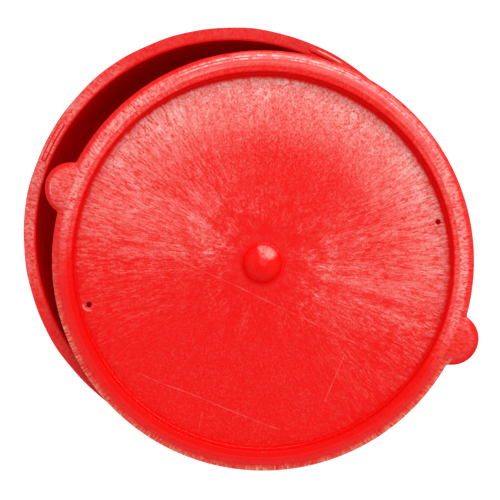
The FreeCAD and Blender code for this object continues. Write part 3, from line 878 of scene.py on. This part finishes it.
def finish(wiring, shader, colour, height, grained):
    """Joins the colour, the grain's height and the share of grained surface to the shader."""
    bump = wiring.node("ShaderNodeBump", {"Strength": 1.0, "Distance": GRAIN_DEPTH, "Height": height})
    wiring.feed(colour, shader.inputs["Base Color"])
    wiring.feed(bump.outputs["Normal"], shader.inputs["Normal"])
    wiring.feed(wiring.ramp(grained, 0.0, 1.0, 0.20, 0.34), shader.inputs["Roughness"])


def lid_colour(spot, pale):
    """Red, lifted on the dome as painted light, mixed with pale: peach in the near shoulder's painted
    reflection.
    """
    wiring = spot.wiring
    on_dome = spot.ring(BOSS_RADIUS, BOSS_RADIUS + 1.0, 1.0, 0.0)
    red = wiring.mix_colour(on_dome, LID_RED, DOME_RED_PAINTED_LIGHT)
    near_shoulder = wiring.product(spot.ring(EDGE_START, EDGE_START + 1.2),
                                   spot.side(NEAR_EDGE, 0.0, 0.5))
    return wiring.mix_colour(pale, red, wiring.mix_colour(near_shoulder, WHITENING_AND_SHEEN, PEACH_REFLECTION))


def lid_height(spot, grained, mould):
    """Grain and sunken mould marks, the dome's turned lines and the shoulder's soft ribs."""
    wiring = spot.wiring
    grain = wiring.scaled(mould, -0.5, grain_height(spot))
    grain = wiring.product(grain, wiring.scaled(grained, 0.9, 0.1))
    turned = wiring.product(spot.waves(40.0, 0.5, 1.0),
                            spot.ring(BOSS_RADIUS - 1, BOSS_RADIUS, 3.0, 0.0))
    ribs = wiring.product(spot.waves(0.7, 5.0),
                          spot.ring(SHOULDER_START + 0.05, SHOULDER_START + 0.85, 0.0, 0.55))
    return wiring.total(grain, turned, ribs)


def lid_gloss(spot):
    """Gloss of the lid: broken into dashes on the shoulder's far side, weak on steep faces."""
    wiring = spot.wiring
    far_shoulder = wiring.product(spot.side(BROKEN_GLOSS, 0.5, 0.9),
                                  spot.ring(SHOULDER_START + 0.85, SHOULDER_START + 1.45))
    broken = wiring.scaled(spot.cells(1.0, 0.5), 0.90, 0.04)
    return wiring.product(wiring.blend(far_shoulder, GLOSS, broken),
                          spot.tilt(0.45, 0.90, 0.25, 1.0))


def lid_plastic():
    """The lid's red, with its grain, painted light, marks and scuffs."""
    material, shader, wiring = red_plastic("lid_red")
    spot = Spot(wiring, LID_SHIFT)
    panel, land = lid_zones(spot)
    mould = mould_marks(spot)
    pale = lid_paleness(spot, panel, land, mould)
    level_land = wiring.product(land, spot.tilt(0.965, 0.950, 1.0, 0.2))
    grained = wiring.math("ADD", panel, level_land, clamp=True)
    wiring.feed(lid_gloss(spot), shader.inputs["Specular IOR Level"])
    finish(wiring, shader, lid_colour(spot, pale), lid_height(spot, grained, mould), grained)
    return material


def rim_zone(spot):
    """Share of the rim's flat top, and of the pads', without their edges."""
    return spot.wiring.product(spot.tilt(0.88, 0.985),
                               spot.ring(OPENING_RADIUS + 0.3, OPENING_RADIUS + 1.5))


def rim_sheen(spot, rim):
    """Painted sheen on the rim, most round one side, and a painted highlight on one pad's outer
    slope.
    """
    wiring = spot.wiring
    pad_slope = wiring.product(spot.tilt(0.95, 0.88), spot.tilt(0.72, 0.80))
    painted_highlight = wiring.product(pad_slope, spot.side(PAD_LIT, 0.9976, 0.9987, 0.0, 0.35),
                            spot.ring(PAD_CIRCLE + 0.2, PAD_CIRCLE + 0.5))
    top = wiring.product(spot.side(RIM_SHEEN, 0.72, 0.99, 0.022, 0.125), rim, dashes(spot))
    return wiring.total(top, painted_highlight)


def bowl_plastic():
    """The bowl's red, brighter inside as painted light, with painted sheen and grain on the rim."""
    material, shader, wiring = red_plastic("bowl_red")
    spot = Spot(wiring, (0, 0))
    rim = rim_zone(spot)
    pale = wiring.product(rim_sheen(spot, rim), patches(spot))
    height = wiring.product(grain_height(spot), wiring.scaled(rim, 0.7, 0.3))
    below_rim = wiring.ramp(spot.height, (BASE_HEIGHT - 3) * MM, (BASE_HEIGHT - 1) * MM, 1.0, 0.0)
    red = wiring.mix_colour(below_rim, RIM_RED, INSIDE_RED_PAINTED_LIGHT)
    finish(wiring, shader, wiring.mix_colour(pale, red, WHITENING_AND_SHEEN), height, rim)
    return material


# ---------------------------------------------------------------- stage, lights, camera

def white_floor():
    """A floor that shows white to the camera, and keeps the object's shadow."""
    reach = FLOOR_REACH
    mesh = bpy.data.meshes.new("floor")
    mesh.from_pydata([(-reach, -reach, 0), (reach, -reach, 0), (reach, reach, 0), (-reach, reach, 0)],
                     [], [(0, 1, 2, 3)])
    floor = bpy.data.objects.new("floor", mesh)
    bpy.context.scene.collection.objects.link(floor)
    material = bpy.data.materials.new("floor_white")
    material.use_nodes = True
    wiring = Wiring(material.node_tree)
    nodes = material.node_tree.nodes
    shader = nodes["Principled BSDF"]
    shader.inputs["Base Color"].default_value = FLOOR_COLOUR
    shader.inputs["Roughness"].default_value = 0.9
    shader.inputs["Specular IOR Level"].default_value = 0.0
    path = wiring.node("ShaderNodeLightPath").outputs
    in_gloss = wiring.product(path["Is Glossy Ray"], FLOOR_MIRRORED)
    shown = wiring.larger(path["Is Camera Ray"], in_gloss)
    own = wiring.node("ShaderNodeEmission", {"Strength": wiring.product(shown, FLOOR_OWN_WHITE)})
    both = wiring.node("ShaderNodeAddShader", {0: shader.outputs[0], 1: own.outputs[0]})
    wiring.feed(both.outputs[0], nodes["Material Output"].inputs["Surface"])
    mesh.materials.append(material)


def studio_world():
    """An even fill from all round but overhead, white to the camera and mostly dark in gloss."""
    world = bpy.data.worlds.new("studio")
    world.use_nodes = True
    bpy.context.scene.world = world
    wiring = Wiring(world.node_tree)
    background = world.node_tree.nodes["Background"]
    path = wiring.node("ShaderNodeLightPath").outputs
    way = wiring.node("ShaderNodeTexCoord").outputs["Generated"]
    rise = wiring.node("ShaderNodeSeparateXYZ", {0: way}).outputs[2]
    overhead = wiring.vector("DOT_PRODUCT", way, OVERHEAD, output="Value")
    round_about = wiring.ramp(rise, 0.15, 0.6, FILL_LOW, FILL)
    fill = wiring.blend(wiring.ramp(overhead, 0.80, 0.95), round_about, FILL_OVERHEAD)
    seen = wiring.blend(path["Is Glossy Ray"], fill, FILL_MIRRORED)
    background.inputs["Color"].default_value = (1, 1, 1, 1)
    wiring.feed(wiring.blend(path["Is Camera Ray"], seen, 1.0), background.inputs["Strength"])


def soft_light(name, azimuth, elevation, distance, width, height, watts):
    """A soft light that looks at the object from a direction in degrees; sizes are in metres."""
    lamp = bpy.data.lights.new(name, "AREA")
    lamp.shape = "RECTANGLE"
    lamp.size = width
    lamp.size_y = height
    lamp.energy = watts
    light = bpy.data.objects.new(name, lamp)
    bpy.context.scene.collection.objects.link(light)
    turn, rise = math.radians(azimuth), math.radians(elevation)
    way = Vector((math.cos(rise) * math.cos(turn), math.cos(rise) * math.sin(turn), math.sin(rise)))
    light.location = Vector(AIM) * MM + way * distance
    light.rotation_euler = way.to_track_quat("Z", "Y").to_euler()


def photo_camera():
    """The photo's camera, nearly overhead, a little to the north and east."""
    lens = bpy.data.cameras.new("camera")
    lens.sensor_width = SENSOR_WIDTH
    lens.lens = FOCAL_SHARE * SENSOR_WIDTH
    lens.clip_start = 0.01
    camera = bpy.data.objects.new("camera", lens)
    bpy.context.scene.collection.objects.link(camera)
    away = Vector((math.sin(CAMERA_EAST), math.sin(CAMERA_NORTH), 0))
    away.z = math.sqrt(1 - away.length_squared)
    right = Vector((0, 1, 0)).cross(away).normalized()
    up = away.cross(right)
    turn = Matrix((right, up, away)).transposed().to_4x4()
    place = (Vector(AIM) + away * CAMERA_DISTANCE) * MM
    camera.matrix_world = Matrix.Translation(place) @ turn
    bpy.context.scene.camera = camera


# ---------------------------------------------------------------- the scene

bowl = make_bowl()
bowl.data.materials.append(bowl_plastic())
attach(bowl, "bowl")
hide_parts("bowl")

lid = make_lid()
lid.data.materials.append(lid_plastic())
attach(lid, "lid")
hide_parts("lid")

white_floor()
studio_world()
soft_light("window", azimuth=66, elevation=34, distance=1.0, width=1.25, height=0.38, watts=4.5)
soft_light("strip", azimuth=70, elevation=52, distance=1.0, width=0.8, height=0.04, watts=0.4)
photo_camera()
bpy.context.scene.view_settings.view_transform = "Standard"
